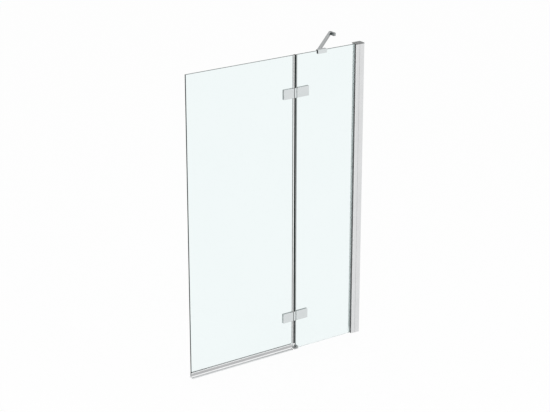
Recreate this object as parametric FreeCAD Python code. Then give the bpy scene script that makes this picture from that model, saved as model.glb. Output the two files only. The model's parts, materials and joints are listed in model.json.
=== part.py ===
import FreeCAD, Part
import math
import os

# Two-pane hinged bath screen. Millimetres, +Z up.
# Origin: on the wall plane, in the middle of the glass thickness, at bath-rim level.
# The wall is the plane X = 0, the screen reaches from it towards -X, and the
# stabiliser brace stands behind the glass, towards +Y.

V = FreeCAD.Vector
SAME_PLACE = 0.01             # points closer than this count as one when edges are picked

# ---- panes --------------------------------------------------------------------------
SCREEN_WIDTH = 977.0          # wall plane to the free edge of the swing glass
SCREEN_HEIGHT = 1500.0        # bath rim to the top edge of both panes
SWING_WIDTH = 585.5           # swing glass, free edge to hinge edge
SWING_RAISE = 8.5             # bottom edge of the swing glass above the rim
GLASS_THICKNESS = 8.0
GLASS_ARRIS = 0.8             # ground chamfer along the outer edges

# ---- vertical seal between the panes ------------------------------------------------
EDGE_TO_AXIS = 6.5            # swing glass edge to the hinge axis
BULB_RADIUS = 7.6             # bulb turns about the hinge axis
SEAL_WALL = 1.0
SEAL_GRIP = 5.5               # flange length on the glass
BULB_CLEARANCE = 0.4          # bulb to the fixed glass edge
SEAL_END_GAP = 0.5            # seal ends to hinges and rail

# ---- hinges -------------------------------------------------------------------------
HINGE_HEIGHT = 48.0
UPPER_HINGE_DROP = 183.0      # upper hinge centre below the top edge
LOWER_HINGE_RISE = 177.5      # lower hinge centre above the rim
SWING_LEAF_WIDTH = 57.0
FIXED_LEAF_WIDTH = 64.0
LEAF_PLATE = 4.0              # clamp plate thickness, front and back
LEAF_GASKET = 1.0
LEAF_FILLET = 1.2
SWING_CLEARANCE = 1.0         # left between the leaves at the end of the swing
KNUCKLE_GAP = 2.5             # knuckle to the opposite leaf
LEAF_END_WALL = 3.0
BLOCK_DEPTH = 34.0            # leaf block inside the glass cut-out
BLOCK_HEIGHT = 28.0
BLOCK_CORNER = 7.0
NECK_THICKNESS = 8.0
CUTOUT_CLEARANCE = 0.5        # glass cut-out to the leaf block
RELIEF_MARGIN = 1.0           # cut-out mouth above and below the hinge
PIN_RADIUS = 4.0
PIN_END_WALL = 5.0            # metal left over each end of the pin
PIN_END_GAP = 0.3
BUSH_WALL = 1.0
WASHER_THICKNESS = 1.0
WASHER_RIM = 0.5              # washer edge inside the knuckle radius
RUNNING_CLEARANCE = 0.05
LEAF_SCREW_RADIUS = 2.25
LEAF_SCREW_HEAD = 4.5
LEAF_SCREW_SINK = 2.4         # depth of the countersink
LEAF_SCREW_INSET = 12.0       # first screw from the inner end of the leaf
LEAF_SCREW_PITCH = 16.0
LEAF_SCREW_BITE = 7.0         # thread length in the leaf block
HEX_SOCKET = 1.5              # socket radius and depth

# ---- wall profile -------------------------------------------------------------------
PROFILE_REACH = 46.0          # wall plane to the outer face of the glass channel
PROFILE_DEPTH = 36.0          # across the wall channel, along Y
WALL_CHANNEL_REACH = 25.0
WALL_CHANNEL_WALL = 1.5
TELESCOPE_CLEARANCE = 0.2
GLASS_CHANNEL_WALL = 1.6
GLASS_CHANNEL_SETBACK = 8.0   # back of the glass channel from the wall plane
WALL_CHANNEL_CORNER = 1.0
GLASS_CHANNEL_CORNER = 2.5
GLASS_BITE = 21.0             # glass inside the glass channel
GLASS_END_GAP = 1.0
GLAZING_GASKET = 2.5
GASKET_LENGTH = 16.0
GASKET_NOSE = 0.8             # gasket proud of the channel
WALL_HOLE_RADIUS = 2.75
WALL_HOLE_COUNT = 3
WALL_HOLE_INSET = 100.0       # lowest and highest hole from the profile ends
CHANNEL_SCREW_RADIUS = 1.9
CHANNEL_SCREW_HEAD = 3.6
CHANNEL_SCREW_DOME = 2.2
CHANNEL_SCREW_LENGTH = 7.0
CHANNEL_SCREW_FROM_WALL = 15.0
CAP_THICKNESS = 4.0
CAP_OVERHANG = 0.6
CAP_CORNER = 1.5
CAP_PEG = 10.0
CAP_PEG_CLEARANCE = 0.3

# ---- bottom rail and rim foot -------------------------------------------------------
RAIL_TOP = 30.0               # top edge of the rail above the rim
RAIL_BASE = 3.0               # metal under the glass
RAIL_WAIST = 3.2              # wall thickness between the two beads
RAIL_BEAD = 1.5               # beads proud of the waist
TOP_BEAD_HEIGHT = 4.5
LOW_BEAD_HEIGHT = 7.5
RAIL_FOOT_CLEARANCE = 1.8     # rail end to the rim foot during the swing
STEM_WIDTH = 4.0
STEM_DEPTH = 1.6
LIP_CLEARANCE = 0.4           # seal lips above the rim
LIP_REACH = 14.0              # lip ends from the glass mid-plane
LIP_ROOT = 5.4
LIP_THICKNESS = 1.2
FOOT_PAST_AXIS = 5.5
FOOT_LENGTH = 24.0
FOOT_DEPTH = 24.0
FOOT_CORNER = 2.0
FOOT_EDGE = 0.8
FOOT_HEADROOM = 2.0           # foot top to the swing glass
FOOT_BLOCK_HEIGHT = 14.0      # raised part that grips the fixed glass

# ---- stabiliser brace ---------------------------------------------------------------
BRACE_FROM_WALL = 251.0       # arm centre line meets the clamp this far from the wall
BRACE_HEIGHT = 15.0
ARM_WIDTH = 12.0
ARM_EDGE = 0.6
CLAMP_LENGTH = 50.0
CLAMP_OVERHANG = 9.0          # clamp and bracket past the arm centre line
CLAMP_CHEEK = 3.5
CLAMP_ROOF = 4.0
CLAMP_EDGE = 1.0
LINER_THICKNESS = 1.0
GRUB_RADIUS = 2.5
GRUB_INSET = 9.0              # first grub screw from the free end of the clamp
GRUB_PITCH = 12.0
BRACKET_LENGTH = 42.0
BRACKET_THICKNESS = 12.0
BRACKET_FACE = 3.5            # wall of the bracket housing that carries the arm
BRACKET_WALL = 2.2
WALL_PLATE_THICKNESS = 5.0
WALL_PLATE_CLEARANCE = 0.2
WALL_PLATE_HOLE = 2.75
WALL_PLATE_SINK = 4.4         # radius of the countersink for the wall screw
WALL_PLATE_SINK_DEPTH = 1.8
WALL_PLATE_HOLE_INSET = 13.0  # hole from the free end of the bracket
BRACKET_GRUB_RADIUS = 1.5
BRACKET_GRUB_INSET = 24.0     # grub screw from the free end of the bracket
BRACE_SCREW_RADIUS = 2.0
BRACE_SCREW_HEAD = 4.0
BRACE_SCREW_SINK = 2.0
BRACE_SCREW_BITE = 7.0        # thread length in the arm
BRACE_SCREW_SHIFT = 2.5       # screw off the arm centre line

# ---- places that follow from the sizes above ----------------------------------------
HALF_GLASS = GLASS_THICKNESS / 2
FREE_EDGE_X = -SCREEN_WIDTH
AXIS_X = FREE_EDGE_X + SWING_WIDTH + EDGE_TO_AXIS
FIXED_EDGE_X = AXIS_X + BULB_RADIUS + BULB_CLEARANCE
GLASS_END_X = -PROFILE_REACH + GLASS_BITE
GASKET_FACE = HALF_GLASS + LEAF_GASKET
LEAF_FACE = GASKET_FACE + LEAF_PLATE
LEAF_START = LEAF_FACE + SWING_CLEARANCE
KNUCKLE_RADIUS = LEAF_START - KNUCKLE_GAP
BLOCK_END = LEAF_START + BLOCK_DEPTH
HINGE_CENTRES = {"lower_hinge": LOWER_HINGE_RISE, "upper_hinge": SCREEN_HEIGHT - UPPER_HINGE_DROP}
PIN_REACH = HINGE_HEIGHT / 2 - PIN_END_WALL
BRACE_TOP = SCREEN_HEIGHT
BRACE_BOTTOM = BRACE_TOP - BRACE_HEIGHT
CLAMP_FACE = HALF_GLASS + LINER_THICKNESS + CLAMP_CHEEK
BRACKET_Y = CLAMP_FACE + BRACE_FROM_WALL - BRACKET_THICKNESS
RAIL_END_X = AXIS_X - math.hypot(FOOT_PAST_AXIS, FOOT_DEPTH / 2) - RAIL_FOOT_CLEARANCE


# ---- shared shape helpers -----------------------------------------------------------
def box(x0, x1, y0, y1, z0, z1):
    return Part.makeBox(x1 - x0, y1 - y0, z1 - z0, V(x0, y0, z0))


def rod(radius, start, direction, length):
    return Part.makeCylinder(radius, length, start, direction)


def extrude(corners, direction):
    """Solid swept straight from a closed outline; a corner triple (a, via, b) is an arc."""
    edges = []
    here = corners[0]
    for step in corners[1:] + [corners[0]]:
        if isinstance(step, tuple):
            edges.append(Part.Arc(here, step[0], step[1]).toShape())
            here = step[1]
        else:
            edges.append(Part.makeLine(here, step))
            here = step
    return Part.Face(Part.Wire(edges)).extrude(direction)


def edges_along(shape, direction, keep):
    """Straight edges parallel to a direction whose middle point passes the keep test."""
    chosen = []
    for edge in shape.Edges:
        if len(edge.Vertexes) != 2:
            continue
        span = edge.Vertexes[1].Point - edge.Vertexes[0].Point
        if span.Length > SAME_PLACE and abs(span.dot(direction)) > 0.999 * span.Length:
            if keep(edge.CenterOfMass):
                chosen.append(edge)
    return chosen


def revolved(profile, base, axis):
    """Turned piece: profile lists (radius, distance along the axis) pairs."""
    points = [V(r, 0, t) for r, t in profile]
    face = Part.Face(Part.makePolygon(points + [points[0]]))
    turned = face.revolve(V(0, 0, 0), V(0, 0, 1), 360)
    turned.Placement = FreeCAD.Placement(base, FreeCAD.Rotation(V(0, 0, 1), axis))
    return turned


def hexagon_socket(base, axis):
    """Hexagonal recess that opens at base and goes down along axis."""
    ring = []
    for corner in range(7):
        turn = math.radians(60 * corner)
        ring.append(V(HEX_SOCKET * math.cos(turn), HEX_SOCKET * math.sin(turn), 0))
    socket = Part.Face(Part.makePolygon(ring)).extrude(V(0, 0, HEX_SOCKET))
    socket.Placement = FreeCAD.Placement(base, FreeCAD.Rotation(V(0, 0, 1), axis))
    return socket


def countersunk_screw(base, axis, radius, head, sink, length):
    """Flat-headed screw with its head face at base and its thread along axis."""
    profile = [(0, 0), (head, 0), (radius, sink), (radius, length), (0, length)]
    return revolved(profile, base, axis).cut(hexagon_socket(base, axis))


def countersink(base, axis, radius, head, sink, length):
    """Hole for a countersunk screw, as a solid to cut away."""
    profile = [(0, 0), (head, 0), (radius, sink), (radius, length), (0, length)]
    return revolved(profile, base, axis)


def save(name, shape):
    shape.exportStep("parts/" + name + ".step")


# ---- panes --------------------------------------------------------------------------
def hinge_cutout(centre_z):
    """Opening in the hinge edge of a pane: a shallow mouth and a round-cornered pocket."""
    mouth_end = LEAF_START + LEAF_END_WALL + CUTOUT_CLEARANCE
    half_mouth = HINGE_HEIGHT / 2 + RELIEF_MARGIN
    half_pocket = BLOCK_HEIGHT / 2 + CUTOUT_CLEARANCE
    corner = BLOCK_CORNER + CUTOUT_CLEARANCE
    mouth = box(0, mouth_end, -LEAF_FACE, LEAF_FACE, -half_mouth, half_mouth)
    pocket = box(0, BLOCK_END + CUTOUT_CLEARANCE, -LEAF_FACE, LEAF_FACE, -half_pocket, half_pocket)
    deep = edges_along(pocket, V(0, 1, 0), lambda p: p.x > mouth_end)
    cut = mouth.fuse(pocket.makeFillet(corner, deep))
    cut.translate(V(AXIS_X, 0, centre_z))
    return cut


def turned_over(shape, centre_z):
    """A piece drawn on the fixed side, put on the swing side by half a turn front to back."""
    other = shape.copy()
    other.rotate(V(AXIS_X, 0, centre_z), V(0, 1, 0), 180)
    return other


def pane(x0, x1, z0):
    sheet = box(x0, x1, -HALF_GLASS, HALF_GLASS, z0, SCREEN_HEIGHT)
    rim = [edge for edge in sheet.Edges if edge.Length > 2 * GLASS_THICKNESS]
    return sheet.makeChamfer(GLASS_ARRIS, rim)


def fixed_glass():
    glass = pane(FIXED_EDGE_X, GLASS_END_X, 0)
    for centre_z in HINGE_CENTRES.values():
        glass = glass.cut(hinge_cutout(centre_z))
    return glass


def swing_glass():
    glass = pane(FREE_EDGE_X, AXIS_X - EDGE_TO_AXIS, SWING_RAISE)
    for centre_z in HINGE_CENTRES.values():
        glass = glass.cut(turned_over(hinge_cutout(centre_z), centre_z))
    return glass


def pane_seal(z0, z1):
    """Clip-on seal with a hollow bulb that turns about the hinge axis."""
    side = HALF_GLASS + SEAL_WALL
    web_x = AXIS_X - EDGE_TO_AXIS + SEAL_WALL
    height = z1 - z0
    clip = box(web_x - SEAL_WALL - SEAL_GRIP, web_x, -side, side, z0, z1)
    bulb = rod(BULB_RADIUS, V(AXIS_X, 0, z0), V(0, 0, 1), height)
    core = rod(BULB_RADIUS - SEAL_WALL, V(AXIS_X, 0, z0), V(0, 0, 1), height)
    hollow = core.common(box(web_x, AXIS_X + BULB_RADIUS, -side - BULB_RADIUS, side + BULB_RADIUS, z0, z1))
    glass_slot = box(FREE_EDGE_X, web_x - SEAL_WALL, -HALF_GLASS, HALF_GLASS, z0, z1)
    return clip.fuse(bulb).cut(hollow).cut(glass_slot).removeSplitter()


def build_panes():
    save("fixed_glass", fixed_glass())
    save("swing_glass", swing_glass())
    reach = HINGE_HEIGHT / 2 + SEAL_END_GAP
    low = HINGE_CENTRES["lower_hinge"]
    high = HINGE_CENTRES["upper_hinge"]
    save("seal_lower", pane_seal(RAIL_TOP + SEAL_END_GAP, low - reach))
    save("seal_middle", pane_seal(low + reach, high - reach))
    save("seal_upper", pane_seal(high + reach, SCREEN_HEIGHT))


# ---- hinges -------------------------------------------------------------------------
# Both leaves are drawn on the fixed side of the axis, around the hinge centre. The swing
# leaf is then turned over, so its knuckle sits above the fixed one.
def leaf_screw_places():
    first = LEAF_START + LEAF_SCREW_INSET
    return [V(first + n * LEAF_SCREW_PITCH, LEAF_FACE, 0) for n in range(2)]


def rounded_plate(width, y_in, y_out):
    """Clamp plate whose outer face has rounded edges all round."""
    half = HINGE_HEIGHT / 2
    low = min(y_in, y_out)
    high = max(y_in, y_out)
    plate = box(LEAF_START, LEAF_START + width, low, high, -half, half)
    rim = [edge for edge in plate.Edges if abs(edge.CenterOfMass.y - y_out) < SAME_PLACE]
    return plate.makeFillet(LEAF_FILLET, rim)


def leaf_casting(width, top, hole_radius, hole_depth):
    """Front plate, end wall, block for the glass cut-out, and a knuckle that ends at top."""
    half = HINGE_HEIGHT / 2
    half_neck = NECK_THICKNESS / 2
    block = box(LEAF_START, BLOCK_END, -GASKET_FACE, GASKET_FACE, -BLOCK_HEIGHT / 2, BLOCK_HEIGHT / 2)
    inner_edges = edges_along(block, V(0, 1, 0), lambda p: p.x > LEAF_START + SAME_PLACE)
    block = block.makeFillet(BLOCK_CORNER, inner_edges)
    end_wall = box(LEAF_START, LEAF_START + LEAF_END_WALL, -GASKET_FACE, GASKET_FACE, -half, half)
    neck = box(0, LEAF_START + LEAF_END_WALL, -half_neck, half_neck, -half, top)
    knuckle = rod(KNUCKLE_RADIUS, V(0, 0, -half), V(0, 0, 1), half + top)
    plate = rounded_plate(width, -GASKET_FACE, -LEAF_FACE)
    casting = plate.multiFuse([block, end_wall, neck, knuckle])
    casting = casting.cut(rod(hole_radius, V(0, 0, top - hole_depth), V(0, 0, 1), hole_depth))
    for place in leaf_screw_places():
        start = V(place.x, GASKET_FACE, 0)
        casting = casting.cut(rod(LEAF_SCREW_RADIUS, start, V(0, -1, 0), LEAF_SCREW_BITE))
    return casting.removeSplitter()


def back_plate(width):
    plate = rounded_plate(width, GASKET_FACE, LEAF_FACE)
    for place in leaf_screw_places():
        hole = countersink(place, V(0, -1, 0), LEAF_SCREW_RADIUS, LEAF_SCREW_HEAD,
                           LEAF_SCREW_SINK, LEAF_PLATE)
        plate = plate.cut(hole)
    return plate


def leaf_gaskets(width):
    """Front and back rubber sheets between the plates and the glass."""
    half = HINGE_HEIGHT / 2
    start = LEAF_START + LEAF_END_WALL + CUTOUT_CLEARANCE
    half_pocket = BLOCK_HEIGHT / 2 + CUTOUT_CLEARANCE
    pocket = box(start, BLOCK_END + CUTOUT_CLEARANCE, -LEAF_FACE, LEAF_FACE, -half_pocket, half_pocket)
    sheets = []
    for side in (-1, 1):
        low = min(side * HALF_GLASS, side * GASKET_FACE)
        sheet = box(start, LEAF_START + width, low, low + LEAF_GASKET, -half, half)
        sheets.append(sheet.cut(pocket))
    return Part.Compound(sheets)


def leaf_screws():
    length = LEAF_PLATE + LEAF_SCREW_BITE
    return Part.Compound([countersunk_screw(place, V(0, -1, 0), LEAF_SCREW_RADIUS, LEAF_SCREW_HEAD,
                                            LEAF_SCREW_SINK, length) for place in leaf_screw_places()])


def hinge_pin():
    return rod(PIN_RADIUS, V(0, 0, -PIN_REACH), V(0, 0, 1), 2 * PIN_REACH)


def hinge_bush():
    base = V(0, 0, WASHER_THICKNESS / 2 + RUNNING_CLEARANCE)
    length = PIN_REACH - base.z
    sleeve = rod(PIN_RADIUS + BUSH_WALL, base, V(0, 0, 1), length)
    return sleeve.cut(rod(PIN_RADIUS + RUNNING_CLEARANCE, base, V(0, 0, 1), length))


def hinge_washer():
    base = V(0, 0, -WASHER_THICKNESS / 2)
    disc = rod(KNUCKLE_RADIUS - WASHER_RIM, base, V(0, 0, 1), WASHER_THICKNESS)
    return disc.cut(rod(PIN_RADIUS, base, V(0, 0, 1), WASHER_THICKNESS))


def leaf_pieces(width, top, hole_radius, hole_depth):
    return {"leaf": leaf_casting(width, top, hole_radius, hole_depth),
            "plate": back_plate(width),
            "gaskets": leaf_gaskets(width),
            "screws": leaf_screws()}


def build_hinge(name, centre_z):
    place = V(AXIS_X, 0, centre_z)
    washer_face = -WASHER_THICKNESS / 2
    swing_face = washer_face - RUNNING_CLEARANCE
    fixed = leaf_pieces(FIXED_LEAF_WIDTH, washer_face, PIN_RADIUS, PIN_REACH + washer_face)
    swing = leaf_pieces(SWING_LEAF_WIDTH, swing_face, PIN_RADIUS + BUSH_WALL,
                        PIN_REACH + swing_face + PIN_END_GAP)
    core = {"pin": hinge_pin(), "bush": hinge_bush(), "washer": hinge_washer()}
    for piece, shape in core.items():
        shape.translate(place)
        save(name + "_" + piece, shape)
    for piece, shape in fixed.items():
        shape.translate(place)
        save(name + "_fixed_" + piece, shape)
    for piece, shape in swing.items():
        shape.translate(place)
        save(name + "_swing_" + piece, turned_over(shape, centre_z))


# ---- wall profile -------------------------------------------------------------------
def profile_rows():
    """Heights of the wall holes and of the channel screws."""
    pitch = (SCREEN_HEIGHT - 2 * WALL_HOLE_INSET) / (WALL_HOLE_COUNT - 1)
    return [WALL_HOLE_INSET + n * pitch for n in range(WALL_HOLE_COUNT)]


def channel_screw_hole(height, length):
    start = V(-CHANNEL_SCREW_FROM_WALL, PROFILE_DEPTH / 2, height)
    return rod(CHANNEL_SCREW_RADIUS, start, V(0, -1, 0), length)


def wall_channel():
    half = PROFILE_DEPTH / 2
    outer = box(-WALL_CHANNEL_REACH, 0, -half, half, 0, SCREEN_HEIGHT)
    lips = edges_along(outer, V(0, 0, 1), lambda p: p.x < -SAME_PLACE)
    outer = outer.makeFillet(WALL_CHANNEL_CORNER, lips)
    inner = half - WALL_CHANNEL_WALL
    channel = outer.cut(box(-WALL_CHANNEL_REACH, -WALL_CHANNEL_WALL, -inner, inner, 0, SCREEN_HEIGHT))
    for height in profile_rows():
        channel = channel.cut(rod(WALL_HOLE_RADIUS, V(0, 0, height), V(-1, 0, 0), WALL_CHANNEL_WALL))
        channel = channel.cut(channel_screw_hole(height, WALL_CHANNEL_WALL))
    return channel


def side_chamber(side, top, bottom, inset):
    """Hollow of the glass channel on one side of the glass, shrunk by an inset."""
    low = HALF_GLASS + GLAZING_GASKET + GLASS_CHANNEL_WALL + inset
    high = PROFILE_DEPTH / 2 - WALL_CHANNEL_WALL - TELESCOPE_CLEARANCE - GLASS_CHANNEL_WALL - inset
    x0 = -PROFILE_REACH + GLASS_CHANNEL_WALL + inset
    x1 = -GLASS_CHANNEL_SETBACK - inset
    return box(x0, x1, min(side * low, side * high), max(side * low, side * high), bottom, top)


def glass_channel():
    half = PROFILE_DEPTH / 2 - WALL_CHANNEL_WALL - TELESCOPE_CLEARANCE
    slot = HALF_GLASS + GLAZING_GASKET
    slot_end = GLASS_END_X + GLASS_END_GAP
    outer = box(-PROFILE_REACH, -GLASS_CHANNEL_SETBACK, -half, half, 0, SCREEN_HEIGHT)
    corners = edges_along(outer, V(0, 0, 1), lambda p: p.x < -WALL_CHANNEL_REACH)
    channel = outer.makeFillet(GLASS_CHANNEL_CORNER, corners)
    channel = channel.cut(box(-PROFILE_REACH, slot_end, -slot, slot, 0, SCREEN_HEIGHT))
    channel = channel.cut(box(slot_end + GLASS_CHANNEL_WALL, 0, -slot, slot, 0, SCREEN_HEIGHT))
    for side in (-1, 1):
        channel = channel.cut(side_chamber(side, SCREEN_HEIGHT, 0, 0))
    for height in profile_rows():
        channel = channel.cut(channel_screw_hole(height, WALL_CHANNEL_WALL + TELESCOPE_CLEARANCE
                                                 + GLASS_CHANNEL_WALL))
    return channel


def glazing_gasket(side):
    """Wedge between the glass and the slot wall, with a rounded nose outside the slot."""
    near = side * HALF_GLASS
    far = side * (HALF_GLASS + GLAZING_GASKET)
    mouth = -PROFILE_REACH
    inner = mouth + GASKET_LENGTH
    nose = V(mouth - GASKET_NOSE, (near + far) / 2, 0)
    outline = [V(inner, near, 0), V(mouth, near, 0), (nose, V(mouth, far, 0)),
               V(inner - GLAZING_GASKET, far, 0)]
    return extrude(outline, V(0, 0, SCREEN_HEIGHT))


def channel_screws():
    """Self-tapping screws that lock the telescoped channels together, on the back side."""
    head = CHANNEL_SCREW_HEAD
    dome = CHANNEL_SCREW_DOME
    screws = []
    for height in profile_rows():
        profile = [(0, -dome), (0.5 * head, -0.86 * dome), (0.86 * head, -0.5 * dome), (head, 0),
                   (CHANNEL_SCREW_RADIUS, 0), (CHANNEL_SCREW_RADIUS, CHANNEL_SCREW_LENGTH),
                   (0, CHANNEL_SCREW_LENGTH)]
        base = V(-CHANNEL_SCREW_FROM_WALL, PROFILE_DEPTH / 2, height)
        screws.append(revolved(profile, base, V(0, -1, 0)))
    return Part.Compound(screws)


def top_cap():
    half = PROFILE_DEPTH / 2 + CAP_OVERHANG
    top = SCREEN_HEIGHT + CAP_THICKNESS
    lid = box(-PROFILE_REACH - CAP_OVERHANG, 0, -half, half, SCREEN_HEIGHT, top)
    upright = edges_along(lid, V(0, 0, 1), lambda p: p.x < -SAME_PLACE)
    lid = lid.makeFillet(CAP_CORNER, upright)
    upper = [edge for edge in lid.Edges if abs(edge.CenterOfMass.z - top) < SAME_PLACE]
    rim = [edge for edge in upper if edge.CenterOfMass.x < -SAME_PLACE]
    lid = lid.makeFillet(CAP_CORNER / 2, rim)
    pegs = [side_chamber(side, SCREEN_HEIGHT, SCREEN_HEIGHT - CAP_PEG, CAP_PEG_CLEARANCE)
            for side in (-1, 1)]
    return lid.multiFuse(pegs)


def build_wall_profile():
    save("wall_channel", wall_channel())
    save("glass_channel", glass_channel())
    save("glazing_gasket_front", glazing_gasket(-1))
    save("glazing_gasket_back", glazing_gasket(1))
    save("channel_screws", channel_screws())
    save("profile_top_cap", top_cap())


# ---- bottom rail, its seal and the rim foot -----------------------------------------
def bottom_rail():
    """Drip rail under the swing glass: two crowned beads with a flat waist between."""
    base = SWING_RAISE - RAIL_BASE
    waist = HALF_GLASS + RAIL_WAIST
    crown = waist + RAIL_BEAD
    x = FREE_EDGE_X
    low_top = base + LOW_BEAD_HEIGHT
    high_base = RAIL_TOP - TOP_BEAD_HEIGHT
    half_stem = STEM_WIDTH / 2
    outline = [
        V(x, half_stem, base), V(x, waist, base),
        (V(x, crown, base + LOW_BEAD_HEIGHT / 2), V(x, waist, low_top)), V(x, waist, high_base),
        (V(x, crown, RAIL_TOP - TOP_BEAD_HEIGHT / 2), V(x, waist, RAIL_TOP)),
        V(x, HALF_GLASS, RAIL_TOP), V(x, HALF_GLASS, SWING_RAISE),
        V(x, -HALF_GLASS, SWING_RAISE), V(x, -HALF_GLASS, RAIL_TOP), V(x, -waist, RAIL_TOP),
        (V(x, -crown, RAIL_TOP - TOP_BEAD_HEIGHT / 2), V(x, -waist, high_base)),
        V(x, -waist, low_top),
        (V(x, -crown, base + LOW_BEAD_HEIGHT / 2), V(x, -waist, base)),
        V(x, -half_stem, base), V(x, -half_stem, base + STEM_DEPTH),
        V(x, half_stem, base + STEM_DEPTH),
    ]
    return extrude(outline, V(RAIL_END_X - x, 0, 0))


def bottom_seal():
    """Soft wiper: a stem in the rail's groove and two lips that splay to the rim."""
    base = SWING_RAISE - RAIL_BASE
    x = FREE_EDGE_X
    web = base - LIP_THICKNESS
    half_stem = STEM_WIDTH / 2
    tip = LIP_THICKNESS / 2
    outline = [V(x, half_stem, base + STEM_DEPTH), V(x, half_stem, base), V(x, LIP_ROOT, base),
               V(x, LIP_REACH, LIP_CLEARANCE), V(x, LIP_REACH - tip, LIP_CLEARANCE),
               V(x, LIP_ROOT - LIP_THICKNESS, web)]
    mirrored = [V(x, -p.y, p.z) for p in reversed(outline)]
    return extrude(outline + mirrored, V(RAIL_END_X - x, 0, 0))


def rim_foot():
    """Moulded foot on the rim that holds the lower free corner of the fixed glass."""
    height = SWING_RAISE - FOOT_HEADROOM
    half = FOOT_DEPTH / 2
    x0 = AXIS_X - FOOT_PAST_AXIS
    body = box(x0, x0 + FOOT_LENGTH, -half, half, 0, height)
    body = body.makeFillet(FOOT_CORNER, edges_along(body, V(0, 0, 1), lambda p: True))
    block = box(FIXED_EDGE_X, x0 + FOOT_LENGTH, -half, half, 0, FOOT_BLOCK_HEIGHT)
    block = block.makeFillet(FOOT_CORNER, edges_along(block, V(0, 0, 1), lambda p: p.x > FIXED_EDGE_X + FOOT_CORNER))
    foot = body.fuse(block).removeSplitter()
    top = [edge for edge in foot.Edges if abs(edge.CenterOfMass.z - FOOT_BLOCK_HEIGHT) < SAME_PLACE]
    foot = foot.makeFillet(FOOT_EDGE, top)
    return foot.cut(box(FIXED_EDGE_X, 0, -HALF_GLASS, HALF_GLASS, 0, FOOT_BLOCK_HEIGHT))


def build_bottom():
    save("bottom_rail", bottom_rail())
    save("bottom_seal", bottom_seal())
    save("rim_foot", rim_foot())


# ---- stabiliser brace ---------------------------------------------------------------
def brace_joints():
    """Screws that hold the arm: head place, direction, and wall thickness under the head."""
    middle = (BRACE_TOP + BRACE_BOTTOM) / 2
    at_clamp = V(-BRACE_FROM_WALL + BRACE_SCREW_SHIFT, HALF_GLASS + LINER_THICKNESS, middle)
    at_wall = V(BRACKET_FACE - BRACKET_THICKNESS, BRACKET_Y - BRACE_SCREW_SHIFT, middle)
    return [(at_clamp, V(0, 1, 0), CLAMP_CHEEK), (at_wall, V(-1, 0, 0), BRACKET_FACE)]


def brace_arm():
    """Bar at 45 degrees in plan, mitred to the clamp at one end and the bracket at the other."""
    reach = ARM_WIDTH / math.sqrt(2)
    x0 = -BRACE_FROM_WALL
    x1 = -BRACKET_THICKNESS
    outline = [V(x0 - reach, CLAMP_FACE, BRACE_BOTTOM), V(x0 + reach, CLAMP_FACE, BRACE_BOTTOM),
               V(x1, BRACKET_Y - reach, BRACE_BOTTOM), V(x1, BRACKET_Y + reach, BRACE_BOTTOM)]
    arm = extrude(outline, V(0, 0, BRACE_HEIGHT))
    arm = arm.makeFillet(ARM_EDGE, edges_along(arm, V(1, 1, 0).normalize(), lambda p: True))
    for place, axis, thickness in brace_joints():
        arm = arm.cut(rod(BRACE_SCREW_RADIUS, place, axis, thickness + BRACE_SCREW_BITE))
    return arm


def brace_joint_screws():
    screws = []
    for place, axis, thickness in brace_joints():
        screws.append(countersunk_screw(place, axis, BRACE_SCREW_RADIUS, BRACE_SCREW_HEAD,
                                        BRACE_SCREW_SINK, thickness + BRACE_SCREW_BITE))
    return Part.Compound(screws)


def joint_countersink(index):
    place, axis, thickness = brace_joints()[index]
    return countersink(place, axis, BRACE_SCREW_RADIUS, BRACE_SCREW_HEAD, BRACE_SCREW_SINK, thickness)


def grub_places():
    middle = (BRACE_TOP + BRACE_BOTTOM) / 2
    free_end = -BRACE_FROM_WALL - CLAMP_OVERHANG + CLAMP_LENGTH
    return [V(free_end - GRUB_INSET - n * GRUB_PITCH, CLAMP_FACE, middle) for n in range(2)]


def brace_clamp():
    """Saddle over the top edge of the fixed glass."""
    x0 = -BRACE_FROM_WALL - CLAMP_OVERHANG
    x1 = x0 + CLAMP_LENGTH
    slot = HALF_GLASS + LINER_THICKNESS
    slot_top = SCREEN_HEIGHT + LINER_THICKNESS
    top = slot_top + CLAMP_ROOF
    clamp = box(x0, x1, -CLAMP_FACE, CLAMP_FACE, BRACE_BOTTOM, top)
    rim = [e for e in clamp.Edges if e.CenterOfMass.z > BRACE_BOTTOM + SAME_PLACE and e.CenterOfMass.y < 0]
    top_back = edges_along(clamp, V(1, 0, 0), lambda p: p.y > 0 and p.z > BRACE_TOP)
    ends = edges_along(clamp, V(0, 1, 0), lambda p: p.z > BRACE_TOP)
    clamp = clamp.makeFillet(CLAMP_EDGE, rim + top_back + ends)
    clamp = clamp.cut(box(x0, x1, -slot, slot, BRACE_BOTTOM, slot_top))
    clamp = clamp.cut(joint_countersink(0))
    for grub in grub_places():
        clamp = clamp.cut(rod(GRUB_RADIUS, grub, V(0, -1, 0), CLAMP_CHEEK))
    return clamp


def brace_liner():
    x0 = -BRACE_FROM_WALL - CLAMP_OVERHANG
    x1 = x0 + CLAMP_LENGTH
    slot = HALF_GLASS + LINER_THICKNESS
    liner = box(x0, x1, -slot, slot, BRACE_BOTTOM, SCREEN_HEIGHT + LINER_THICKNESS)
    return liner.cut(box(x0, x1, -HALF_GLASS, HALF_GLASS, BRACE_BOTTOM, SCREEN_HEIGHT))


def brace_grub_screws():
    screws = []
    for place in grub_places():
        screw = rod(GRUB_RADIUS, place, V(0, -1, 0), CLAMP_CHEEK)
        screws.append(screw.cut(hexagon_socket(place, V(0, -1, 0))))
    return Part.Compound(screws)


def bracket_ends():
    far = BRACKET_Y + CLAMP_OVERHANG
    return far - BRACKET_LENGTH, far


def bracket_grub_place():
    return V(-WALL_PLATE_THICKNESS / 2, bracket_ends()[0] + BRACKET_GRUB_INSET, BRACE_BOTTOM)


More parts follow.
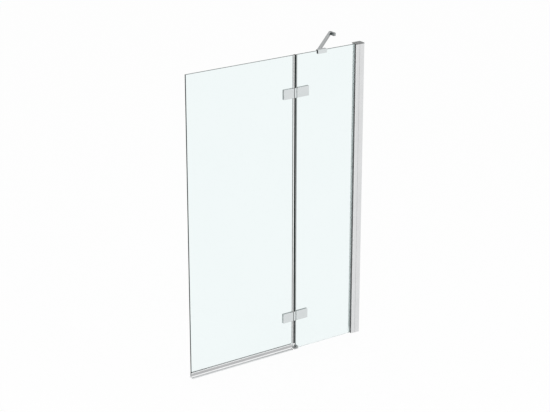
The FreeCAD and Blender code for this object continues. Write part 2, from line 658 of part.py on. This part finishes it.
def brace_wall_bracket():
    """Housing on the arm's end, hollow towards the wall, where it slips over the wall plate."""
    y0, y1 = bracket_ends()
    bracket = box(-BRACKET_THICKNESS, 0, y0, y1, BRACE_BOTTOM, BRACE_TOP)
    rim = [e for e in bracket.Edges if abs(e.CenterOfMass.x + BRACKET_THICKNESS) < SAME_PLACE]
    bracket = bracket.makeFillet(ARM_EDGE, rim)
    wall = BRACKET_WALL
    hollow = box(BRACKET_FACE - BRACKET_THICKNESS, 0, y0 + wall, y1 - wall,
                 BRACE_BOTTOM + wall, BRACE_TOP - wall)
    bracket = bracket.cut(hollow).cut(joint_countersink(1))
    return bracket.cut(rod(BRACKET_GRUB_RADIUS, bracket_grub_place(), V(0, 0, 1), wall))


def brace_wall_plate():
    """Plate screwed to the wall inside the bracket housing."""
    y0, y1 = bracket_ends()
    edge = BRACKET_WALL + WALL_PLATE_CLEARANCE
    plate = box(-WALL_PLATE_THICKNESS, 0, y0 + edge, y1 - edge, BRACE_BOTTOM + edge, BRACE_TOP - edge)
    middle = (BRACE_TOP + BRACE_BOTTOM) / 2
    mouth = V(-WALL_PLATE_THICKNESS, y0 + WALL_PLATE_HOLE_INSET, middle)
    return plate.cut(countersink(mouth, V(1, 0, 0), WALL_PLATE_HOLE, WALL_PLATE_SINK,
                                 WALL_PLATE_SINK_DEPTH, WALL_PLATE_THICKNESS))


def brace_bracket_grub():
    """Grub screw in the underside of the housing that bears on the wall plate."""
    length = BRACKET_WALL + WALL_PLATE_CLEARANCE
    return rod(BRACKET_GRUB_RADIUS, bracket_grub_place(), V(0, 0, 1), length)


def build_brace():
    save("brace_arm", brace_arm())
    save("brace_clamp", brace_clamp())
    save("brace_clamp_liner", brace_liner())
    save("brace_grub_screws", brace_grub_screws())
    save("brace_joint_screws", brace_joint_screws())
    save("brace_wall_bracket", brace_wall_bracket())
    save("brace_wall_plate", brace_wall_plate())
    save("brace_bracket_grub", brace_bracket_grub())


def main():
    os.makedirs("parts", exist_ok=True)
    build_panes()
    for name, centre_z in HINGE_CENTRES.items():
        build_hinge(name, centre_z)
    build_wall_profile()
    build_bottom()
    build_brace()


main()
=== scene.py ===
import json
import math

import bpy
from mathutils import Matrix, Vector


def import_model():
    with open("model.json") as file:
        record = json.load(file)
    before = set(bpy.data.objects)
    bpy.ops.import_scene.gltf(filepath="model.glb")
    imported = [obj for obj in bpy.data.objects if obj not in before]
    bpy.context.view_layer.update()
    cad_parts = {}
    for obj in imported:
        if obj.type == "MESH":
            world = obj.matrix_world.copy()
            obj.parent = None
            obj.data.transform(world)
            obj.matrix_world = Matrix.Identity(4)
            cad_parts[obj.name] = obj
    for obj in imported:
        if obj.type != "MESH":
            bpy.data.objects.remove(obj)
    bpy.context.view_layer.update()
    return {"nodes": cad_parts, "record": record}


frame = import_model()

nodes = frame["nodes"]
AXIS_X = frame["record"]["behaviour"]["joints"][0]["pos_m"][0]


def reach_x(name):
    """The least and the greatest X of a CAD piece."""
    places = [corner[0] for corner in nodes[name].bound_box]
    return min(places), max(places)


# ---- node helpers -------------------------------------------------------------------
def start_material(name, **values):
    """A Principled material; values are constants for the shader's own sockets."""
    mat = bpy.data.materials.new(name)
    mat.use_nodes = True
    shader = mat.node_tree.nodes["Principled BSDF"]
    for key, value in values.items():
        shader.inputs[key.replace("_", " ")].default_value = value
    return mat, mat.node_tree, shader


def drive(nt, shader, **sockets):
    """Links each socket to the shader's input of that name."""
    for key, value in sockets.items():
        nt.links.new(value, shader.inputs[key.replace("_", " ")])


def math_node(nt, operation, a, b=None):
    node = nt.nodes.new("ShaderNodeMath")
    node.operation = operation
    for socket, value in zip(node.inputs, (a, b)):
        if isinstance(value, (int, float)):
            socket.default_value = value
        elif value is not None:
            nt.links.new(value, socket)
    return node.outputs[0]


def product(nt, first, *others):
    for factor in others:
        first = math_node(nt, "MULTIPLY", first, factor)
    return first


def object_axes(nt, output="Object"):
    """The X, Y and Z sockets of the object's own position or normal."""
    place = nt.nodes.new("ShaderNodeTexCoord")
    split = nt.nodes.new("ShaderNodeSeparateXYZ")
    nt.links.new(place.outputs[output], split.inputs[0])
    return split.outputs


def spread(nt, value, low, high, start=0.3, end=0.7):
    """Value from start to end becomes low to high, and stays between them."""
    node = nt.nodes.new("ShaderNodeMapRange")
    nt.links.new(value, node.inputs["Value"])
    node.inputs["From Min"].default_value = start
    node.inputs["From Max"].default_value = end
    node.inputs["To Min"].default_value = low
    node.inputs["To Max"].default_value = high
    return node.outputs["Result"]


def past(nt, value, edge, soft):
    """0 before the edge and 1 past it; the step is twice soft wide."""
    return spread(nt, value, 0, 1, edge - soft, edge + soft)


def before(nt, value, edge, soft):
    """1 before the edge and 0 past it; the step is twice soft wide."""
    return spread(nt, value, 1, 0, edge - soft, edge + soft)


def band(nt, value, edges, soft):
    """1 between the two edges and 0 outside them."""
    return product(nt, past(nt, value, edges[0], soft), before(nt, value, edges[1], soft))


def facing_left(nt):
    """1 on faces that look towards -X, away from the wall."""
    return before(nt, object_axes(nt, "Normal")["X"], edge=-0.7, soft=0.2)


def facing_front_or_back(nt):
    """1 on faces that look along Y, to either side of the screen."""
    return past(nt, math_node(nt, "ABSOLUTE", object_axes(nt, "Normal")["Y"]), edge=0.94, soft=0.04)


def noise(nt, scale, detail=3.0, stretch=(1, 1, 1)):
    """Noise over the object's own position; scale is in blobs per metre."""
    place = nt.nodes.new("ShaderNodeTexCoord")
    mapping = nt.nodes.new("ShaderNodeMapping")
    mapping.inputs["Scale"].default_value = stretch
    texture = nt.nodes.new("ShaderNodeTexNoise")
    texture.inputs["Scale"].default_value = scale
    texture.inputs["Detail"].default_value = detail
    nt.links.new(place.outputs["Object"], mapping.inputs["Vector"])
    nt.links.new(mapping.outputs[0], texture.inputs["Vector"])
    return texture.outputs["Fac"]


def clouds(nt, scale, detail=3.0, stretch=(1, 1, 1)):
    """The same noise, from 0 to 1."""
    return spread(nt, noise(nt, scale, detail, stretch), 0, 1)


def blend(nt, factor, a, b):
    """Colour a at factor 0, colour b at factor 1."""
    node = nt.nodes.new("ShaderNodeMix")
    node.data_type = "RGBA"
    nt.links.new(factor, node.inputs["Factor"])
    for socket, value in ((node.inputs["A"], a), (node.inputs["B"], b)):
        if isinstance(value, tuple):
            socket.default_value = (*value, 1)
        else:
            nt.links.new(value, socket)
    return node.outputs["Result"]


def bump(nt, shader, height, strength):
    """Marks up to 0.1 mm deep."""
    node = nt.nodes.new("ShaderNodeBump")
    node.inputs["Strength"].default_value = strength
    node.inputs["Distance"].default_value = 0.0001
    nt.links.new(height, node.inputs["Height"])
    nt.links.new(node.outputs[0], shader.inputs["Normal"])


def light_path(nt):
    return nt.nodes.new("ShaderNodeLightPath").outputs


def seen_directly(nt):
    """1 for the camera, mirrors and glass, 0 for the light that falls on things."""
    ray = light_path(nt)
    seen = math_node(nt, "MAXIMUM", ray["Is Camera Ray"], ray["Is Glossy Ray"])
    return math_node(nt, "MAXIMUM", seen, ray["Is Transmission Ray"])


def coloured(nt, kind, colour):
    """The output of a new shader node of one colour."""
    node = nt.nodes.new(kind)
    node.inputs["Color"].default_value = (*colour, 1)
    return node.outputs[0]


def show_mix(nt, factor, a, b, target="Material Output"):
    """Shows shader a at factor 0 and shader b at factor 1."""
    mix = nt.nodes.new("ShaderNodeMixShader")
    for socket, value in zip(mix.inputs, (factor, a, b)):
        nt.links.new(value, socket)
    nt.links.new(mix.outputs[0], nt.nodes[target].inputs["Surface"])


# ---- glass --------------------------------------------------------------------------
# The free upright edge and the bottom edge, each with how far its tone reaches from the edge.
FREE_EDGE_X = reach_x("swing_glass")[0]
FREE_EDGE_TONE = 0.0015
BOTTOM_TONE = 0.0011
SHADOW_TINT = (0.90, 0.955, 0.954)


def glass():
    """Clear pale-green panes with ground edges: the free upright one darkest, the bottom ones clear."""
    mat, nt, shader = start_material("glass", IOR=1.45)
    place = object_axes(nt)
    free_edge = before(nt, place["X"], FREE_EDGE_X + FREE_EDGE_TONE, soft=0.0001)
    bottom = before(nt, place["Z"], BOTTOM_TONE, soft=0.0001)
    face = math_node(nt, "MAXIMUM", facing_front_or_back(nt), bottom)
    clear = blend(nt, clouds(nt, 3.0, detail=2.0), (0.889, 0.953, 0.953), (0.897, 0.958, 0.958))
    clear = blend(nt, free_edge, clear, (0.33, 0.38, 0.38))
    grit = clouds(nt, 60.0)
    ground = blend(nt, grit, (0.12, 0.15, 0.145), (0.16, 0.19, 0.185))
    darkest = blend(nt, grit, (0.015, 0.022, 0.021), (0.03, 0.038, 0.037))
    ground = blend(nt, free_edge, ground, darkest)
    smear = spread(nt, noise(nt, 14.0), 0, 0.012)
    roughness = math_node(nt, "ADD", smear, spread(nt, face, 0.25, 0, 0, 1))
    drive(nt, shader, Base_Color=blend(nt, face, ground, clear), Transmission_Weight=face,
          Roughness=roughness, Specular_IOR_Level=spread(nt, free_edge, 0.5, 0.05, 0, 1))
    shade = coloured(nt, "ShaderNodeBsdfTransparent", SHADOW_TINT)
    show_mix(nt, light_path(nt)["Is Shadow Ray"], shader.outputs[0], shade)
    return mat


# ---- metals -------------------------------------------------------------------------
def metal_tone(nt, dark, light):
    """Two close tones in soft clouds."""
    return blend(nt, clouds(nt, 9.0, detail=2.0), dark, light)


def start_metal(name, dark, light, low, high, stretch=(1, 1, 1), grain=40.0, lines=0.0, share=1.0):
    """Metal between two tones and two roughnesses; lines is the depth of its drawing marks."""
    mat, nt, shader = start_material(name, Metallic=share)
    tone = metal_tone(nt, dark, light)
    marks = noise(nt, grain, detail=4.0, stretch=stretch)
    drive(nt, shader, Base_Color=tone, Roughness=spread(nt, marks, low, high))
    if lines:
        bump(nt, shader, marks, lines)
    return mat, nt, shader, tone


def metal(*values, **options):
    """A plain metal finish."""
    return start_metal(*values, **options)[0]


# The mouth of the channels, where the glass goes in, with its band of painted shade, its front and its
# middle.
MOUTH_LENGTH = 0.0045
MOUTH_END_X = reach_x("glass_channel")[0] + MOUTH_LENGTH
PAINTED_SHADE_Y = (-0.01345, -0.00725)
FACE_Y = -0.01675
MIDDLE_Y = 0.0005


def profile_metal():
    """Anodised channels; their satin mouth has a dark band of painted shade in front and a pale tone
    painted as light behind the glass.
    """
    mat, nt, shader, tone = start_metal("profile", (0.72, 0.725, 0.73), (0.76, 0.765, 0.77), 0.20, 0.30,
                                        stretch=(1, 1, 0.02), grain=900.0, lines=0.04)
    place = object_axes(nt)
    at_mouth = product(nt, before(nt, place["X"], MOUTH_END_X, soft=0.0005),
                       past(nt, place["Y"], FACE_Y, soft=0.00025))
    # Painted shade: a near-black band across the mouth in front of the glass.
    painted_shade_band = product(nt, at_mouth, band(nt, place["Y"], PAINTED_SHADE_Y, soft=0.00025))
    # Painted light: the mouth behind the glass is made pale, standing in for light falling there.
    behind = product(nt, at_mouth, past(nt, place["Y"], MIDDLE_Y, soft=0.0005))
    tone = blend(nt, behind, tone, (0.95, 0.96, 0.96))
    drive(nt, shader, Base_Color=blend(nt, painted_shade_band, tone, (0.01, 0.011, 0.011)),
          Metallic=spread(nt, at_mouth, 1, 0.35, 0, 1))
    return mat


# The recess beside the knuckles, on the swing side of the axis, where shade is painted; the brace is above
# the hinges.
RECESS_OFF_AXIS = (0.0048, 0.0101)
RECESS_DEPTH = 0.00555
HINGES_BELOW_Z = 1.4495


def chrome():
    """Polished chrome; painted shade darkens the recessed gap by the knuckles, and the hinges' end faces
    are satin with a paler tone painted on as light.
    """
    mat, nt, shader, polish = start_metal("chrome", (0.665, 0.70, 0.705), (0.705, 0.735, 0.74), 0.05, 0.12)
    place = object_axes(nt)
    off_axis = math_node(nt, "SUBTRACT", AXIS_X, place["X"])
    off_middle = math_node(nt, "ABSOLUTE", place["Y"])
    # Painted shade: the recess beside the knuckles is coloured near black, where shade falls between the
    # parts.
    painted_recess_shade = product(nt, band(nt, off_axis, RECESS_OFF_AXIS, soft=0.0001),
                     before(nt, off_middle, RECESS_DEPTH, soft=0.00025))
    # Painted light: besides a satin finish, the hinges' end faces get a paler tone, at full strength right
    # of the axis and half left of it.
    satin_and_painted_light = product(nt, facing_left(nt), before(nt, place["Z"], HINGES_BELOW_Z, soft=0.0005),
                    spread(nt, place["X"], 0.5, 1, AXIS_X, AXIS_X + 0.001))
    tone = blend(nt, satin_and_painted_light, polish, (0.78, 0.81, 0.81))
    drive(nt, shader, Base_Color=blend(nt, painted_recess_shade, tone, (0.02, 0.02, 0.022)),
          Metallic=math_node(nt, "SUBTRACT", 1.0, satin_and_painted_light))
    return mat


RAIL_WAIST_Z = (0.013, 0.0255)


def rail_metal():
    """Anodised rail; its flat middle band between the beads is painted darker and its low bead painted
    brighter, as reflections, and its sawn end is bright.
    """
    mat, nt, shader, top_bead = start_metal("rail", (0.80, 0.805, 0.81), (0.84, 0.845, 0.85), 0.16, 0.26,
                                            stretch=(0.02, 1, 1), grain=900.0, lines=0.1)
    height = object_axes(nt)["Z"]
    # Painted reflection: the low bead is brighter, as if it mirrored the pale floor.
    painted_bright_low_bead = metal_tone(nt, (0.90, 0.905, 0.91), (0.94, 0.945, 0.95))
    # Painted reflection: the flat waist is darker, as if it mirrored darker surroundings.
    painted_dark_waist = metal_tone(nt, (0.47, 0.475, 0.48), (0.51, 0.515, 0.52))
    sawn = metal_tone(nt, (0.92, 0.925, 0.93), (0.96, 0.965, 0.97))
    beads = blend(nt, past(nt, height, RAIL_WAIST_Z[0], soft=0.0003), painted_bright_low_bead, top_bead)
    front = blend(nt, band(nt, height, RAIL_WAIST_Z, soft=0.0003), beads, painted_dark_waist)
    drive(nt, shader, Base_Color=blend(nt, facing_left(nt), front, sawn))
    return mat


# ---- plastics and rubbers -----------------------------------------------------------
def plastic(name, dark, light, low, high):
    """Moulded piece with a slightly cloudy colour and a fine-grained surface."""
    mat, nt, shader = start_material(name)
    skin = noise(nt, 900.0, detail=2.0)
    drive(nt, shader, Base_Color=blend(nt, clouds(nt, 25.0), dark, light),
          Roughness=spread(nt, skin, low, high))
    bump(nt, shader, skin, strength=0.15)
    return mat


# The clip has an outer lip and a ridge beside the bulb, whose crown lies near the axis.
RIDGE_FROM_X = AXIS_X - 0.0118
BULB_FROM_X = AXIS_X - 0.0074
CROWN_X = AXIS_X + 0.0009


def clear_seal():
    """Clear clip with a painted highlight beside the bulb and painted shade behind the glass; the bulb is
    dark up to its crown.
    """
    mat, nt, shader = start_material("clear_seal", Specular_IOR_Level=0.12)
    place = object_axes(nt)
    streaks = clouds(nt, 30.0, stretch=(1, 1, 0.05))
    lip = blend(nt, streaks, (0.56, 0.58, 0.575), (0.60, 0.62, 0.615))
    # Painted highlight: the clip beside the bulb is near white.
    ridge_highlight = blend(nt, streaks, (0.95, 0.965, 0.96), (0.975, 0.985, 0.98))
    # Painted shade: the clip behind the glass is dark grey.
    behind = blend(nt, streaks, (0.18, 0.20, 0.195), (0.23, 0.25, 0.245))
    dark = blend(nt, streaks, (0.007, 0.013, 0.013), (0.013, 0.020, 0.020))
    grey = blend(nt, streaks, (0.40, 0.41, 0.41), (0.46, 0.47, 0.47))
    front = blend(nt, past(nt, place["X"], RIDGE_FROM_X, soft=0.0005), lip, ridge_highlight)
    clip = blend(nt, past(nt, place["Y"], edge=0, soft=0.001), front, behind)
    bulb = blend(nt, past(nt, place["X"], CROWN_X, soft=0.0004), dark, grey)
    on_bulb = past(nt, place["X"], BULB_FROM_X, soft=0.0002)
    drive(nt, shader, Base_Color=blend(nt, on_bulb, clip, bulb),
          Roughness=spread(nt, streaks, 0.22, 0.34, 0, 1))
    return mat


WIPER_CUT = 0.0035
WIPER_CUT_X = reach_x("bottom_seal")[1] - WIPER_CUT
LIPS_Z = (0.0005, 0.0055)


def wiper():
    """Clear lips that thin out towards the rim; painted shade makes them darker near the rail, fading to
    pale towards the rim; the cut ends look dark.
    """
    mat, nt, shader = start_material("wiper", Specular_IOR_Level=0.4)
    place = object_axes(nt)
    streaks = clouds(nt, 60.0, stretch=(0.05, 1, 1))
    tip = blend(nt, streaks, (0.80, 0.82, 0.82), (0.86, 0.88, 0.88))
    # Painted shade: the lips are darker near the rail, where shade falls under it.
    painted_shade_root = blend(nt, streaks, (0.34, 0.35, 0.355), (0.44, 0.45, 0.455))
    lips = blend(nt, spread(nt, place["Z"], 0, 1, *LIPS_Z), tip, painted_shade_root)
    ends = math_node(nt, "MAXIMUM", facing_left(nt), past(nt, place["X"], WIPER_CUT_X, soft=0.0005))
    drive(nt, shader, Base_Color=blend(nt, ends, lips, (0.16, 0.165, 0.17)),
          Roughness=spread(nt, streaks, 0.25, 0.35, 0, 1))
    return mat


# ---- finishes of the pieces ---------------------------------------------------------
finishes = {
    "glass": glass(),
    "chrome": chrome(),
    "profile": profile_metal(),
    "rail": rail_metal(),
    "dark_chrome": metal("dark_chrome", (0.31, 0.325, 0.325), (0.35, 0.365, 0.365), 0.08, 0.16, share=0.8),
    "foot_metal": metal("foot_metal", (0.38, 0.395, 0.395), (0.42, 0.435, 0.435), 0.35, 0.45, share=0.4),
    "steel": metal("steel", (0.52, 0.52, 0.53), (0.60, 0.60, 0.61), 0.25, 0.38),
    "clear_seal": clear_seal(),
    "wiper": wiper(),
    "cap_plastic": plastic("cap_plastic", (0.19, 0.195, 0.195), (0.23, 0.235, 0.235), 0.4, 0.5),
    "rubber": plastic("rubber", (0.035, 0.037, 0.037), (0.055, 0.057, 0.057), 0.55, 0.75),
    "grey_rubber": plastic("grey_rubber", (0.66, 0.67, 0.665), (0.72, 0.73, 0.725), 0.5, 0.7),
    # Dark rubber, darkened further with painted shade of the channel.
    "front_gasket": plastic("front_gasket", (0.15, 0.155, 0.155), (0.19, 0.195, 0.195), 0.5, 0.7),
    # Painted light: the back gasket is near white, standing in for light inside the shaded channel.
    "back_gasket": plastic("back_gasket", (0.88, 0.89, 0.885), (0.92, 0.93, 0.925), 0.5, 0.7),
    "nylon": plastic("nylon", (0.74, 0.74, 0.72), (0.82, 0.82, 0.80), 0.35, 0.5),
}

# Pieces that look different from the rest of their material.
OWN_FINISH = {
    "bottom_rail": "rail",
    "brace_wall_bracket": "dark_chrome",
    # The back gasket's near-white tone is painted light.
    "glazing_gasket_back": "back_gasket",
    # The front gasket is dark rubber with painted shade of the channel.
    "glazing_gasket_front": "front_gasket",
    "rim_foot": "foot_metal",
}

for part in frame["record"]["subparts"]:
    finish = OWN_FINISH.get(part["node"], part["material_slot"])
    piece = nodes[part["node"]]
    piece.data.materials.clear()
    piece.data.materials.append(finishes[finish])


# ---- floor and cards ----------------------------------------------------------------
FLOOR_Z = -0.0005
FLOOR_REACH = 40
FLOOR = [(x * FLOOR_REACH, y * FLOOR_REACH) for x, y in ((-1, -1), (1, -1), (1, 1), (-1, 1))]
FLOOR_GLOW = 0.95


def plane(name, corners, mat):
    mesh = bpy.data.meshes.new(name)
    mesh.from_pydata(corners, [], [(0, 1, 2, 3)])
    mesh.materials.append(mat)
    card = bpy.data.objects.new(name, mesh)
    bpy.context.scene.collection.objects.link(card)
    return card


def floor_material():
    """Pale floor that the camera, mirrors and glass see as nearly plain white."""
    mat, nt, shader = start_material("floor", Roughness=0.9)
    tone = blend(nt, clouds(nt, 1.5, detail=2.0), (0.86, 0.86, 0.86), (0.88, 0.88, 0.88))
    drive(nt, shader, Base_Color=tone)
    glow = coloured(nt, "ShaderNodeEmission", (1, 1, 1))
    show_mix(nt, product(nt, seen_directly(nt), FLOOR_GLOW), shader.outputs[0], glow)
    return mat


def card_material(name, tone):
    """A grey card that shows only in reflections."""
    mat, nt, shader = start_material(name)
    nt.nodes.remove(shader)
    clear = coloured(nt, "ShaderNodeBsdfTransparent", (1, 1, 1))
    glow = coloured(nt, "ShaderNodeEmission", (tone, tone, tone))
    show_mix(nt, math_node(nt, "MINIMUM", light_path(nt)["Glossy Depth"], 1.0), clear, glow)
    return mat


def reflector(name, corners, tone):
    card = plane(name, corners, card_material(name, tone))
    card.visible_camera = False
    card.visible_diffuse = False
    card.visible_shadow = False


def upright(start, end, low, high):
    """The corners of an upright card over the line from start to end on the floor."""
    return [(*start, low), (*end, low), (*end, high), (*start, high)]


def level(outline, height):
    """The corners of a flat card, or of the floor, at one height."""
    return [(x, y, height) for x, y in outline]


# Grey cards and dark flags beyond the screen, which its end faces and top edges mirror.
LEFT_CARD_Y = 1.0
LEFT_CARD_TOP = 1.6
FLAG_CARD_BORDER = (-1.03, LEFT_CARD_Y)
BACK_CARD_Y = 4.0
BACK_CARD_TOP = 5.5
BACK_CARD_BORDER = (2.45, BACK_CARD_Y)
LOW_FLAG = [(-0.145, 0.05), (-0.045, 0.05), (-0.65, 1.0), (-0.95, 1.0)]

plane("floor", level(FLOOR, FLOOR_Z), floor_material())
reflector("flag_left", upright(FLAG_CARD_BORDER, (-0.4, LEFT_CARD_Y), 0.0, LEFT_CARD_TOP), 0.06)
reflector("card_left", upright((-2.6, LEFT_CARD_Y), FLAG_CARD_BORDER, 0.0, LEFT_CARD_TOP), 0.62)
reflector("flag_low", level(LOW_FLAG, 0.001), 0.06)
reflector("card_back", upright((0.3, BACK_CARD_Y), BACK_CARD_BORDER, 0.8, BACK_CARD_TOP), 0.9)
reflector("flag_back", upright(BACK_CARD_BORDER, (5.0, BACK_CARD_Y), 2.5, BACK_CARD_TOP), 0.53)
reflector("card_right", upright((1.5, 0.6), (1.5, 1.9), 0.2, 1.3), 0.45)


# ---- sky and lamp -------------------------------------------------------------------
SKY_STRENGTH = 0.8


def sky():
    """Plain white to look at, and a little weaker as a light."""
    world = bpy.data.worlds.new("studio")
    bpy.context.scene.world = world
    world.use_nodes = True
    nt = world.node_tree
    light = nt.nodes["Background"]
    light.inputs["Color"].default_value = (1, 1, 1, 1)
    light.inputs["Strength"].default_value = SKY_STRENGTH
    white = coloured(nt, "ShaderNodeBackground", (1, 1, 1))
    show_mix(nt, seen_directly(nt), light.outputs[0], white, target="World Output")


def softbox(name, place, aim, size, power):
    """A square lamp that reflections and glass don't show."""
    light = bpy.data.lights.new(name, "AREA")
    light.shape = "SQUARE"
    light.size = size
    light.energy = power
    lamp = bpy.data.objects.new(name, light)
    bpy.context.scene.collection.objects.link(lamp)
    lamp.location = place
    lamp.rotation_mode = "QUATERNION"
    lamp.rotation_quaternion = (Vector(aim) - Vector(place)).to_track_quat("-Z", "Y")
    lamp.visible_glossy = False
    lamp.visible_transmission = False


sky()
softbox("key_light", place=(-3.5, -4.0, 4.5), aim=(-0.5, 0.0, 0.7), size=3.0, power=120)


# ---- camera -------------------------------------------------------------------------
AZIMUTH = math.radians(33.738)
ELEVATION = math.radians(20.747)
CAMERA_PLACE = Vector((-4.61275, -6.1627, 3.58244))
FOCAL_PIXELS = 1671.4
FRAME_WIDTH = 550
SENSOR_WIDTH = 36.0

right = Vector((math.cos(AZIMUTH), -math.sin(AZIMUTH), 0))
up = Vector((math.sin(AZIMUTH) * math.sin(ELEVATION), math.cos(AZIMUTH) * math.sin(ELEVATION),
             math.cos(ELEVATION)))
camera = bpy.data.objects.new("camera", bpy.data.cameras.new("camera"))
bpy.context.scene.collection.objects.link(camera)
camera.data.sensor_fit = "HORIZONTAL"
camera.data.sensor_width = SENSOR_WIDTH
camera.data.lens = FOCAL_PIXELS / FRAME_WIDTH * SENSOR_WIDTH
camera.data.clip_end = 100.0
turn = Matrix((right, up, right.cross(up))).transposed().to_4x4()
turn.translation = CAMERA_PLACE
camera.matrix_world = turn
bpy.context.scene.camera = camera

bpy.context.scene.view_settings.view_transform = "Standard"
